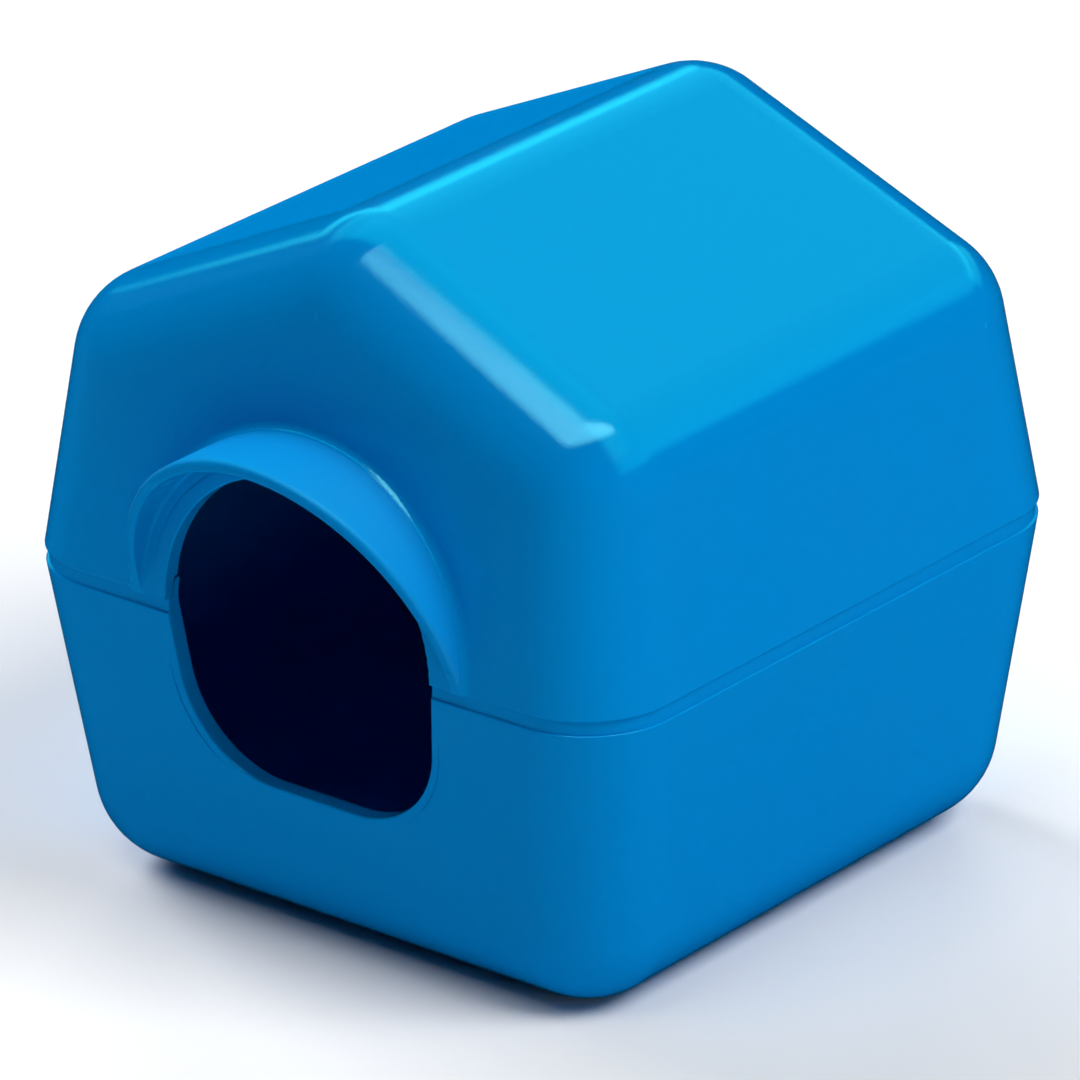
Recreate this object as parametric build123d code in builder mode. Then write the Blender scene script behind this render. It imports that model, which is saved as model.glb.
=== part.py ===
from build123d import *

import os
from math import atan2, cos, degrees, radians, sin, tan

# Small two-part house for a dwarf hamster: a tray-shaped base and a lift-off roof.
# Millimetres. X runs across the doorway, -Y is the front and +Z is up. The origin is the
# middle of the flat underside.

# Outer form of the base, whose walls lean out as they rise; it is widest at its shoulder
base_width = 100.0
base_depth = 99.9
shoulder_height = 43.75
base_side_lean = 6.7
base_front_lean = 6.8
base_rounding = 12.95
shoulder_edge_radius = 0.2

# Recessed band between the shoulder and the roof, which is the outer face of the base's rim
band_height = 1.9
band_recess = 0.35

# Outer form of the roof, which is widest at its foot. The wall and gable heights run to the
# lines where the flat faces would meet if the edges were not rounded.
roof_overhang = 0.0
roof_side_lean = 7.1
roof_front_lean = 7.2
roof_wall_height = 33.95
gable_height = 20.8
roof_rounding = 12.65
foot_edge_radius = 0.3

# Moulded walls
wall = 2.4
floor_thickness = 2.4

# Joint between the roof and the base: a lip stands inside the roof's thinned skirt. The lip's
# inner face carries on from the base's inner wall, so its thickness follows from both.
skirt_thickness = 0.95
lip_clearance = 0.25
lip_height = 2.5
lip_headroom = 0.4
lip_chamfer = 0.3

# Doorway, an arch in the roof over a round-cornered opening in the base
doorway_radius = 22.0
doorway_lean = 6.0
doorway_corner = 14.5
doorway_edge_radius = 0.25
sill_height = 22.3

# Upright surround that closes the space inside the visor, just in front of the roof's foot
surround_step = 0.45
surround_root_radius = 0.4

# Shallow groove round the doorway's edge, deepest half way up each piece and gone at its ends
base_groove_offset = 1.15
roof_groove_offset = 1.9
groove_width = 0.28
groove_depth = 0.14
groove_above_sill = 0.3
groove_below_shoulder = 5.75
groove_above_seam = 2.35
groove_above_arch = 12.0

# Half-round visor over the doorway; its rim leans forward from just in front of the wall
visor_gap = 3.75
visor_thickness = 1.65
visor_lean = 19.3
visor_step = 0.5
visor_root_radius = 1.2
visor_outer_rim_radius = 0.85
visor_inner_rim_radius = 0.25

# How far a cutting solid runs past the face that it opens
overrun = 2.0

# Heights, half sizes and radii that follow
seam = shoulder_height + band_height
eave_height = seam + roof_wall_height
ridge_height = eave_height + gable_height
base_half_x = base_width / 2
base_half_y = base_depth / 2
roof_half_x = base_half_x + roof_overhang
roof_half_y = base_half_y + roof_overhang
eave_half_x = roof_half_x - roof_wall_height * tan(radians(roof_side_lean))
roof_pitch = degrees(atan2(gable_height, eave_half_x))
visor_inner_radius = doorway_radius + visor_gap
visor_outer_radius = visor_inner_radius + visor_thickness
reach = max(base_width, base_depth)


def inset_half(half, lean, thickness):
    """Half size of a face that lies a wall's thickness inside a leaning outer face."""
    return half - thickness / cos(radians(lean))


def leaning_outline(half, lean, level, low, high):
    """Corners of a symmetrical outline, half wide at one level, whose sides lean in above it."""
    low_half = half + (level - low) * tan(radians(lean))
    high_half = half - (high - level) * tan(radians(lean))
    return [(-low_half, low), (low_half, low), (high_half, high), (-high_half, high)]


def leaning_walls(half_x, half_y, lean_x, lean_y, level, low, high):
    """Block with four flat leaning walls and sharp corners."""
    with BuildPart() as block:
        with BuildSketch(Plane.XZ):
            with BuildLine():
                Polyline(*leaning_outline(half_x, lean_x, level, low, high), close=True)
            make_face()
        extrude(amount=reach, both=True)
        with BuildSketch(Plane.YZ):
            with BuildLine():
                Polyline(*leaning_outline(half_y, lean_y, level, low, high), close=True)
            make_face()
        extrude(amount=reach, both=True, mode=Mode.INTERSECT)
    return block.part


def base_block(inset, low, high):
    """Outer form of the base, or its hollow when inset by the wall."""
    half_x = inset_half(base_half_x, base_side_lean, inset)
    half_y = inset_half(base_half_y, base_front_lean, inset)
    walls = leaning_walls(half_x, half_y, -base_side_lean, -base_front_lean, shoulder_height, low, high)
    with BuildPart() as block:
        add(walls)
        corners = block.edges().filter_by(Plane.XY, reverse=True)
        lower_edges = block.faces().sort_by(Axis.Z)[0].edges()
        fillet(corners + lower_edges, base_rounding - inset)
    return block.part


def foot_block(half_x, half_y, corner, low, high):
    """Block with the lean of the roof's walls, its half sizes given at the seam."""
    walls = leaning_walls(half_x, half_y, roof_side_lean, roof_front_lean, seam, low, high)
    with BuildPart() as block:
        add(walls)
        fillet(block.edges().filter_by(Plane.XY, reverse=True), corner)
    return block.part


def inset_foot(inset, low, high):
    """Block whose walls lie one thickness inside the roof's outer walls."""
    half_x = inset_half(roof_half_x, roof_side_lean, inset)
    half_y = inset_half(roof_half_y, roof_front_lean, inset)
    return foot_block(half_x, half_y, roof_rounding - inset, low, high)


def roof_block(inset, low):
    """Outer form of the roof, or its hollow when inset by the wall."""
    half_x = inset_half(roof_half_x, roof_side_lean, inset)
    half_y = inset_half(roof_half_y, roof_front_lean, inset)
    pitch = radians(roof_pitch)
    ridge = ridge_height - inset / cos(pitch)
    walls = leaning_walls(half_x, half_y, roof_side_lean, roof_front_lean, seam, low, ridge)
    with BuildPart() as block:
        add(walls)
        for side in (-1, 1):
            slope = Plane(origin=(0, 0, ridge), z_dir=(side * sin(pitch), 0, cos(pitch)))
            split(bisect_by=slope, keep=Keep.BOTTOM)
        foot_edges = block.faces().sort_by(Axis.Z)[0].edges()
        fillet(block.edges() - foot_edges, roof_rounding - inset)
    return block.part


def half_disc_block(radius, back, front):
    """Half of an upright disc standing on the seam's level, between two places along Y."""
    with BuildPart() as block:
        with BuildSketch(Plane.XZ.offset(-back)):
            with BuildLine():
                arc = CenterArc((0, seam), radius, 0, 180)
                Line(arc @ 0, arc @ 1)
            make_face()
        extrude(amount=back - front)
    return block.part


def doorway_prism(widening):
    """Solid through the front wall with the doorway's outline, widened all round."""
    radius = doorway_radius + widening
    sill = sill_height - widening
    lean = radians(doorway_lean)
    sill_half = (radius - (seam - sill) * sin(lean)) / cos(lean)
    sill_ends = [(-sill_half, sill), (sill_half, sill)]
    with BuildPart() as prism:
        with BuildSketch(Plane.XZ):
            with BuildLine():
                arch = CenterArc((0, seam), radius, -doorway_lean, 180 + 2 * doorway_lean)
                FilletPolyline(arch @ 1, *sill_ends, arch @ 0, radius=doorway_corner + widening)
            make_face()
        extrude(amount=reach)
    return prism.part


def front_y(half, lean, level, height):
    """Where the front wall's outer face is at one height."""
    return (height - level) * tan(radians(lean)) - half


def doorway_plug(half, lean, level):
    """Solid that fills the doorway back from a wall's face, flared where its edge is rounded."""
    passage = doorway_prism(0)
    low_front = (front_y(half, lean, level, 0), 0)
    high_front = (front_y(half, lean, level, ridge_height), ridge_height)
    with BuildPart() as slab:
        with BuildSketch(Plane.YZ):
            with BuildLine():
                Polyline(low_front, high_front, (0, ridge_height), (0, 0), close=True)
            make_face()
        extrude(amount=visor_outer_radius, both=True)
    with BuildPart() as surround:
        add(slab.part)
        add(passage, mode=Mode.SUBTRACT)
        front = surround.faces().sort_by(Axis.Y)[0]
        fillet(front.inner_wires()[0].edges(), doorway_edge_radius)
    with BuildPart() as plug:
        add(slab.part)
        add(surround.part, mode=Mode.SUBTRACT)
    return plug.part


def doorway_groove(half, lean, level, offset, low, high):
    """Slivers that cut the groove into a front face between two heights."""
    inner_ring = doorway_prism(offset)
    outer_ring = doorway_prism(offset + groove_width)
    low_y = front_y(half, lean, level, low)
    high_y = front_y(half, lean, level, high)
    deepest = ((low_y + high_y) / 2 + groove_depth, (low + high) / 2)
    with BuildPart() as slivers:
        with BuildSketch(Plane.YZ):
            with BuildLine():
                ThreePointArc((low_y, low), deepest, (high_y, high))
                Polyline((high_y, high), (high_y - overrun, high), (low_y - overrun, low), (low_y, low))
            make_face()
        extrude(amount=reach, both=True)
        add(outer_ring, mode=Mode.INTERSECT)
        add(inner_ring, mode=Mode.SUBTRACT)
    return slivers.part


def base_hollow():
    """Inside of the base, whose walls lean in again where they become the lip."""
    high = seam + lip_height + overrun
    half_x = inset_half(base_half_x, base_side_lean, wall) + band_height * tan(radians(base_side_lean))
    half_y = inset_half(base_half_y, base_front_lean, wall) + band_height * tan(radians(base_front_lean))
    tray = base_block(wall, floor_thickness, high)
    mouth = foot_block(half_x, half_y, base_rounding - wall, 0, high)
    with BuildPart() as hollow:
        add(tray)
        add(mouth, mode=Mode.INTERSECT)
    return hollow.part


os.makedirs("parts", exist_ok=True)

# Base: a tray with its rim and lip, and the lower half of the doorway
base_outer = base_block(0, 0, shoulder_height)
lip = inset_foot(skirt_thickness + lip_clearance, seam, seam + lip_height)
base_cuts = [
    base_hollow(),
    doorway_prism(0),
    doorway_plug(base_half_y, -base_front_lean, shoulder_height),
    doorway_groove(
        base_half_y,
        -base_front_lean,
        shoulder_height,
        base_groove_offset,
        sill_height + groove_above_sill,
        shoulder_height - groove_below_shoulder,
    ),
]
with BuildPart() as base_shell:
    add(base_outer)
    fillet(base_shell.faces().sort_by(Axis.Z)[-1].edges(), shoulder_edge_radius)
    with BuildSketch(Plane.XY.offset(shoulder_height)):
        rim_width = base_width - 2 * band_recess
        rim_depth = base_depth - 2 * band_recess
        RectangleRounded(rim_width, rim_depth, base_rounding - band_recess)
    extrude(amount=band_height)
    add(lip)
    chamfer(base_shell.faces().sort_by(Axis.Z)[-1].edges(), lip_chamfer)
    for cut in base_cuts:
        add(cut, mode=Mode.SUBTRACT)
base_shell.part.label = "base_shell"
export_step(base_shell.part, "parts/base_shell.step")

# Roof: the gabled lid with its walls, the visor and the upper half of the doorway
roof_outer = roof_block(0, seam)
surround_front = -roof_half_y - surround_step
rim_lean = radians(visor_lean)
rim_plane = Plane(
    origin=(0, -roof_half_y - visor_step, seam),
    z_dir=(0, -cos(rim_lean), -sin(rim_lean)),
)
with BuildPart() as surround:
    add(half_disc_block((visor_inner_radius + visor_outer_radius) / 2, 0, surround_front))
    front = surround.faces().sort_by(Axis.Y)[0]
    fillet(front.edges().filter_by(Axis.X), foot_edge_radius)
roof_cuts = [
    roof_block(wall, seam - overrun),
    inset_foot(skirt_thickness, seam - overrun, seam + lip_height + lip_headroom),
    half_disc_block(visor_outer_radius - wall, 0, surround_front + wall),
    doorway_prism(0),
    doorway_plug(-surround_front, 0, seam),
    doorway_groove(
        -surround_front,
        0,
        seam,
        roof_groove_offset,
        seam + groove_above_seam,
        seam + doorway_radius + groove_above_arch,
    ),
]
with BuildPart() as roof_shell:
    add(roof_outer)
    fillet(roof_shell.faces().sort_by(Axis.Z)[0].edges(), foot_edge_radius)
    with BuildSketch(Plane.XZ):
        with BuildLine():
            outside = CenterArc((0, seam), visor_outer_radius, 0, 180)
            inside = CenterArc((0, seam), visor_inner_radius, 0, 180)
            Line(outside @ 0, inside @ 0)
            Line(outside @ 1, inside @ 1)
        make_face()
    extrude(amount=reach)
    outer_root = roof_shell.edges().filter_by(GeomType.ELLIPSE).sort_by(SortBy.LENGTH)[-1]
    fillet(outer_root, visor_root_radius)
    add(surround.part)
    arcs = roof_shell.edges().filter_by(GeomType.CIRCLE).filter_by_position(Axis.Y, surround_front, 0)
    fillet(arcs.sort_by(SortBy.LENGTH)[-1], surround_root_radius)
    split(bisect_by=rim_plane, keep=Keep.BOTTOM)
    for radius in (visor_outer_rim_radius, visor_inner_rim_radius):
        rim = roof_shell.faces().filter_by(rim_plane).sort_by(Axis.Y)[0]
        arcs = rim.edges().filter_by(GeomType.ELLIPSE)
        fillet(arcs.sort_by(SortBy.LENGTH)[-1], radius)
    for cut in roof_cuts:
        add(cut, mode=Mode.SUBTRACT)
roof_shell.part.label = "roof_shell"
export_step(roof_shell.part, "parts/roof_shell.step")
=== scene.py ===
import math

import bpy
from mathutils import Matrix, Vector

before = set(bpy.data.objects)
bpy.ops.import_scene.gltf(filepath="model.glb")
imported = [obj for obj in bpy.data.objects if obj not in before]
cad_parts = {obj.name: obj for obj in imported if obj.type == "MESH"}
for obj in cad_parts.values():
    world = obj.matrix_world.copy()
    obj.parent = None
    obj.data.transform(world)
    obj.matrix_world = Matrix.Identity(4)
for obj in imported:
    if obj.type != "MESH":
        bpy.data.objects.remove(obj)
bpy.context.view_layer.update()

# Camera of the photograph: angles in degrees, lengths in metres, image places in pixels
IMAGE_SIDE = 1080
CAMERA_AZIMUTH = 39.33
CAMERA_ELEVATION = 23.29
CAMERA_ROLL = -0.93
CAMERA_DISTANCE = 1.25
AIM_HEIGHT = 0.045
AIM_PIXEL_X = 543.98
AIM_PIXEL_Y = 522.43
FOCAL_PIXELS = 9538.4
SENSOR_WIDTH = 36.0
CLIP_START = 0.01
CLIP_END = 50.0
MIDDLE = Vector((0, 0, AIM_HEIGHT))

# Plastic: colours in linear light, lengths in metres
PLASTIC_COLOUR = (0.0, 0.24, 0.65, 1)
PLASTIC_SPECULAR_TINT = (0.2, 1.0, 1.0, 1)
ROUGHNESS_LOW = 0.07
ROUGHNESS_HIGH = 0.11
HANDLING_SCALE = 45.0
HANDLING_DETAIL = 4.0
HANDLING_RANGE = (0.3, 0.7)
GRAIN_SCALE = 4000.0
GRAIN_DETAIL = 1.5
GRAIN_ROUGHNESS = 0.6
GRAIN_DEPTH = 0.000016
WAVE_SCALE = 70.0
WAVE_DETAIL = 1.0
WAVE_DEPTH = 0.00002

# The visor's outside: further out than the radius round its axis, and in front of the leaning wall
VISOR_ROUGHNESS = 0.60
VISOR_AXIS_HEIGHT = 0.04565
VISOR_RADIUS_RANGE = (0.0270, 0.0272)
ROOF_FRONT_SLOPE = 0.126
ROOF_FRONT_RANGE = (0.05075, 0.05135)

FLOOR_HALF = 1.6
FLOOR_COLOUR = (0.97, 0.97, 0.97)
WHITE = (1, 1, 1)

# Soft lamps that don't show as reflections: name, azimuth and elevation in degrees, power in watts
FILL_DISTANCE = 2.5
FILL_SIZE = 1.2
FILLS = (
    ("front_high", 0, 65, 12.5),
    ("right_high", 100, 50, 41.5),
    ("right_low", 90, 5, 9.5),
    ("left_side", 265, 33, 42.0),
    ("back_left_low", 220, 5, 56.0),
)

PANEL_COLOUR = (0.05, 1.0, 1.0)
STRIP_COLOUR = (1.0, 0.9, 0.9)
CARD_COLOUR = (0.0, 0.37, 1.0)
# Panels that show only as reflections: place, what they face, width, depth, radiance, colour, turn, shape
REFLECTIONS = (
    ("overhead", (0.55, 1.03, 1.0), (0.55, 1.03, 0.0), 3.5, 2.16, 2.2, PANEL_COLOUR, 0, "RECTANGLE"),
    ("overhead_middle", (0.2, 0.3, 0.98), (0.2, 0.3, 0.0), 1.6, 0.7, 0.8, PANEL_COLOUR, 0, "RECTANGLE"),
    ("overhead_strip", (0.19, -0.08, 0.96), (0.19, -0.08, 0.0), 0.95, 0.36, 8.5, STRIP_COLOUR, 65, "ELLIPSE"),
    ("backdrop_glow", (0.35, 2.2, 0.95), (0.0, 0.0, 0.55), 1.6, 0.7, 1.8, PANEL_COLOUR, 0, "RECTANGLE"),
    ("back_left_strip", (-1.50, 1.01, 0.90), (0.0, 0.0, 0.07), 1.4, 0.36, 2.8, PANEL_COLOUR, 0, "RECTANGLE"),
    ("low_blue_card", (-1.36, 1.46, -0.42), (0.0, 0.0, 0.09), 0.9, 0.5, 0.54, CARD_COLOUR, 0, "RECTANGLE"),
)


def direction(azimuth, elevation):
    """Unit vector from the object towards something seen at an azimuth and elevation in degrees."""
    a = math.radians(azimuth)
    e = math.radians(elevation)
    return Vector((math.sin(a) * math.cos(e), -math.cos(a) * math.cos(e), math.sin(e)))


def make_camera():
    """The photograph's camera."""
    back = direction(CAMERA_AZIMUTH, CAMERA_ELEVATION)
    level_right = direction(CAMERA_AZIMUTH + 90, 0)
    level_up = back.cross(level_right)
    roll = math.radians(CAMERA_ROLL)
    right = level_right * math.cos(roll) + level_up * math.sin(roll)
    up = level_up * math.cos(roll) - level_right * math.sin(roll)
    data = bpy.data.cameras.new("camera")
    data.sensor_fit = "HORIZONTAL"
    data.sensor_width = SENSOR_WIDTH
    data.lens = FOCAL_PIXELS * SENSOR_WIDTH / IMAGE_SIDE
    data.shift_x = (IMAGE_SIDE / 2 - AIM_PIXEL_X) / IMAGE_SIDE
    data.shift_y = (AIM_PIXEL_Y - IMAGE_SIDE / 2) / IMAGE_SIDE
    data.clip_start = CLIP_START
    data.clip_end = CLIP_END
    camera = bpy.data.objects.new("camera", data)
    bpy.context.scene.collection.objects.link(camera)
    place = MIDDLE + back * CAMERA_DISTANCE
    axes = Matrix((right, up, back)).transposed()
    camera.matrix_world = Matrix.Translation(place) @ axes.to_4x4()
    bpy.context.scene.camera = camera


def noise(tree, place, scale, detail, roughness=0.5):
    """Output of a noise texture."""
    node = tree.nodes.new("ShaderNodeTexNoise")
    node.inputs["Scale"].default_value = scale
    node.inputs["Detail"].default_value = detail
    node.inputs["Roughness"].default_value = roughness
    tree.links.new(place, node.inputs["Vector"])
    return node.outputs["Fac"]


def bump(tree, height, depth, normal=None):
    """Normal of a relief as deep as given, on top of another normal where there is one."""
    node = tree.nodes.new("ShaderNodeBump")
    node.inputs["Strength"].default_value = 1.0
    node.inputs["Distance"].default_value = depth
    tree.links.new(height, node.inputs["Height"])
    if normal:
        tree.links.new(normal, node.inputs["Normal"])
    return node.outputs["Normal"]


def map_range(tree, value, given, wanted=(0.0, 1.0)):
    """A value moved from one range to another and kept inside it."""
    node = tree.nodes.new("ShaderNodeMapRange")
    node.inputs["From Min"].default_value = given[0]
    node.inputs["From Max"].default_value = given[1]
    node.inputs["To Min"].default_value = wanted[0]
    node.inputs["To Max"].default_value = wanted[1]
    tree.links.new(value, node.inputs["Value"])
    return node.outputs["Result"]


def vector_math(tree, operation, result, vector, other=(0, 0, 0)):
    """One step of vector arithmetic; result names the output that holds the answer."""
    node = tree.nodes.new("ShaderNodeVectorMath")
    node.operation = operation
    node.inputs[1].default_value = other
    tree.links.new(vector, node.inputs[0])
    return node.outputs[result]


def visor_mask(tree, place):
    """1 on the visor's outside and 0 elsewhere."""
    from_axis = vector_math(tree, "SUBTRACT", "Vector", place, (0, 0, VISOR_AXIS_HEIGHT))
    forward = vector_math(tree, "DOT_PRODUCT", "Value", from_axis, (0, -1, ROOF_FRONT_SLOPE))
    across = vector_math(tree, "MULTIPLY", "Vector", from_axis, (1, 0, 1))
    radius = vector_math(tree, "LENGTH", "Value", across)
    both = tree.nodes.new("ShaderNodeMath")
    both.operation = "MULTIPLY"
    tree.links.new(map_range(tree, forward, ROOF_FRONT_RANGE), both.inputs[0])
    tree.links.new(map_range(tree, radius, VISOR_RADIUS_RANGE), both.inputs[1])
    return both.outputs[0]


def gloss(tree, place):
    """Roughness: handling makes it a little uneven, and the visor's outside is duller."""
    handling = noise(tree, place, HANDLING_SCALE, HANDLING_DETAIL)
    walls = map_range(tree, handling, HANDLING_RANGE, (ROUGHNESS_LOW, ROUGHNESS_HIGH))
    mix = tree.nodes.new("ShaderNodeMix")
    mix.inputs[3].default_value = VISOR_ROUGHNESS
    tree.links.new(visor_mask(tree, place), mix.inputs[0])
    tree.links.new(walls, mix.inputs[2])
    return mix.outputs[0]


def relief(tree, place):
    """Normal of a fine eroded grain on the slight waviness of a moulded wall."""
    waves = bump(tree, noise(tree, place, WAVE_SCALE, WAVE_DETAIL), WAVE_DEPTH)
    grain = noise(tree, place, GRAIN_SCALE, GRAIN_DETAIL, GRAIN_ROUGHNESS)
    return bump(tree, grain, GRAIN_DEPTH, waves)


def make_plastic():
    """Blue moulded plastic."""
    material = bpy.data.materials.new("blue_plastic")
    material.use_nodes = True
    tree = material.node_tree
    shader = tree.nodes["Principled BSDF"]
    shader.inputs["Base Color"].default_value = PLASTIC_COLOUR
    shader.inputs["Specular Tint"].default_value = PLASTIC_SPECULAR_TINT
    place = tree.nodes.new("ShaderNodeTexCoord").outputs["Object"]
    tree.links.new(relief(tree, place), shader.inputs["Normal"])
    tree.links.new(gloss(tree, place), shader.inputs["Roughness"])
    return material


def make_floor():
    """Pale matt floor that the plastic doesn't mirror."""
    side = FLOOR_HALF
    mesh = bpy.data.meshes.new("floor")
    corners = [(-side, -side, 0), (side, -side, 0), (side, side, 0), (-side, side, 0)]
    mesh.from_pydata(corners, [], [(0, 1, 2, 3)])
    material = bpy.data.materials.new("floor")
    material.use_nodes = True
    shader = material.node_tree.nodes["Principled BSDF"]
    shader.inputs["Base Color"].default_value = (*FLOOR_COLOUR, 1)
    shader.inputs["Roughness"].default_value = 1.0
    shader.inputs["Specular IOR Level"].default_value = 0.0
    mesh.materials.append(material)
    floor = bpy.data.objects.new("floor", mesh)
    floor.visible_glossy = False
    bpy.context.scene.collection.objects.link(floor)


def make_backdrop():
    """White beyond the floor's edge, seen by the camera alone, so that it lights nothing."""
    world = bpy.data.worlds.new("backdrop")
    world.use_nodes = True
    tree = world.node_tree
    rays = tree.nodes.new("ShaderNodeLightPath")
    background = tree.nodes["Background"]
    background.inputs["Color"].default_value = (*WHITE, 1)
    tree.links.new(rays.outputs["Is Camera Ray"], background.inputs["Strength"])
    bpy.context.scene.world = world


def add_lamp(name, place, target, width, depth, power, colour, shape="RECTANGLE"):
    """A soft panel lamp at one place, facing another."""
    data = bpy.data.lights.new(name, "AREA")
    data.shape = shape
    data.size = width
    data.size_y = depth
    data.energy = power
    data.color = colour
    lamp = bpy.data.objects.new(name, data)
    bpy.context.scene.collection.objects.link(lamp)
    lamp.location = place
    lamp.rotation_euler = (Vector(place) - Vector(target)).to_track_quat("Z", "Y").to_euler()
    return lamp


def add_fill(name, azimuth, elevation, power):
    """A lamp that gives soft light but doesn't show as a reflection."""
    place = MIDDLE + direction(azimuth, elevation) * FILL_DISTANCE
    lamp = add_lamp(name, place, MIDDLE, FILL_SIZE, FILL_SIZE, power, WHITE)
    lamp.visible_glossy = False


def add_reflection(name, place, target, width, depth, radiance, colour, turn, shape):
    """A panel that shows only as a reflection, as bright as given."""
    area = width * depth * (math.pi / 4 if shape == "ELLIPSE" else 1)
    lamp = add_lamp(name, place, target, width, depth, radiance * area * math.pi, colour, shape)
    lamp.rotation_euler.rotate_axis("Z", math.radians(turn))
    lamp.visible_diffuse = False


make_camera()
plastic = make_plastic()
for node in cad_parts.values():
    node.data.materials.clear()
    node.data.materials.append(plastic)
make_floor()
make_backdrop()
for name, azimuth, elevation, power in FILLS:
    add_fill(name, azimuth, elevation, power)
for panel in REFLECTIONS:
    add_reflection(*panel)

scene = bpy.context.scene
scene.view_settings.view_transform = "Standard"
